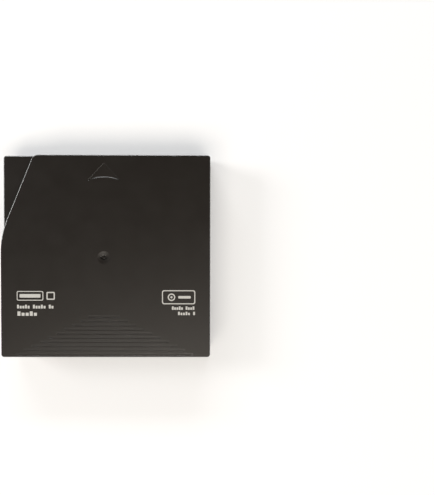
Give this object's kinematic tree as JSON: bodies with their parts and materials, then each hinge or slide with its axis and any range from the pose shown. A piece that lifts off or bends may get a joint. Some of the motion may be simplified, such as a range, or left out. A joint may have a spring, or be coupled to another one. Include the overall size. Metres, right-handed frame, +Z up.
{
  "type": "tape data cartridge",
  "caption": "Flat square single-reel tape cartridge with a stepped-down corner, a sliding door over the leader pin, a braked reel and a write-lock slider.",
  "frame": {"origin": "centre of the underside of the case", "axes": "+Z up out of the marked top face, +Y towards the leading edge, +X towards the door side"},
  "size_m": [0.1054, 0.102, 0.0215],
  "materials": {
    "case_plastic": "fine moulded texture",
    "door_plastic": "fine moulded texture",
    "reel_plastic": "smooth moulded",
    "white_plastic": "smooth moulded",
    "brake_plastic": "smooth moulded",
    "lock_plastic": "smooth moulded",
    "steel": "bright, turned or stamped",
    "spring_steel": "drawn wire and strip",
    "tape": "coated film, dark brown",
    "board": "glass-fibre board",
    "copper": "etched copper",
    "chip": "cast resin"
  },
  "bodies": {
    "case": {"upper_shell": "case_plastic", "lower_shell": "case_plastic", "door_spring": "spring_steel", "brake_spring": "spring_steel", "tape_leader": "tape", "leader_pin": "steel", "leader_clip": "white_plastic", "pin_spring": "spring_steel", "memory_board": "board", "memory_antenna": "copper", "memory_chip": "chip", "case_screws": "steel"},
    "door": {"door": "door_plastic"},
    "reel": {"reel_hub": "reel_plastic", "reel_upper_flange": "reel_plastic", "clutch_plate": "steel", "tape_pack": "tape"},
    "release": {"release_plate": "white_plastic"},
    "brake": {"brake_disc": "brake_plastic"},
    "lock": {"write_lock_slider": "lock_plastic"}
  },
  "joints": [
    {"name": "door_slide", "type": "slide", "parent": "case", "child": "door", "axis": [0, -1, 0], "range_m": [0, 0.022], "stiffness_N_per_m": 15, "springref_m": -0.02, "deforming": ["door_spring"]},
    {"name": "reel_spin", "type": "hinge", "parent": "case", "child": "reel", "pos_m": [-0.0008, -0.0006, 0], "axis": [0, 0, 1], "continuous": true},
    {"name": "brake_lift", "type": "slide", "parent": "case", "child": "brake", "axis": [0, 0, 1], "range_m": [0, 0.0016], "stiffness_N_per_m": 400, "springref_m": -0.01, "deforming": ["brake_spring"]},
    {"name": "release_lift", "type": "slide", "parent": "reel", "child": "release", "axis": [0, 0, 1], "range_m": [0, 0.0016]},
    {"name": "write_lock_slide", "type": "slide", "parent": "case", "child": "lock", "axis": [1, 0, 0], "range_m": [0, 0.0045]}
  ],
  "couplings": [
    {"joint": "release_lift", "follows": "brake_lift", "ratio": 1}
  ]
}
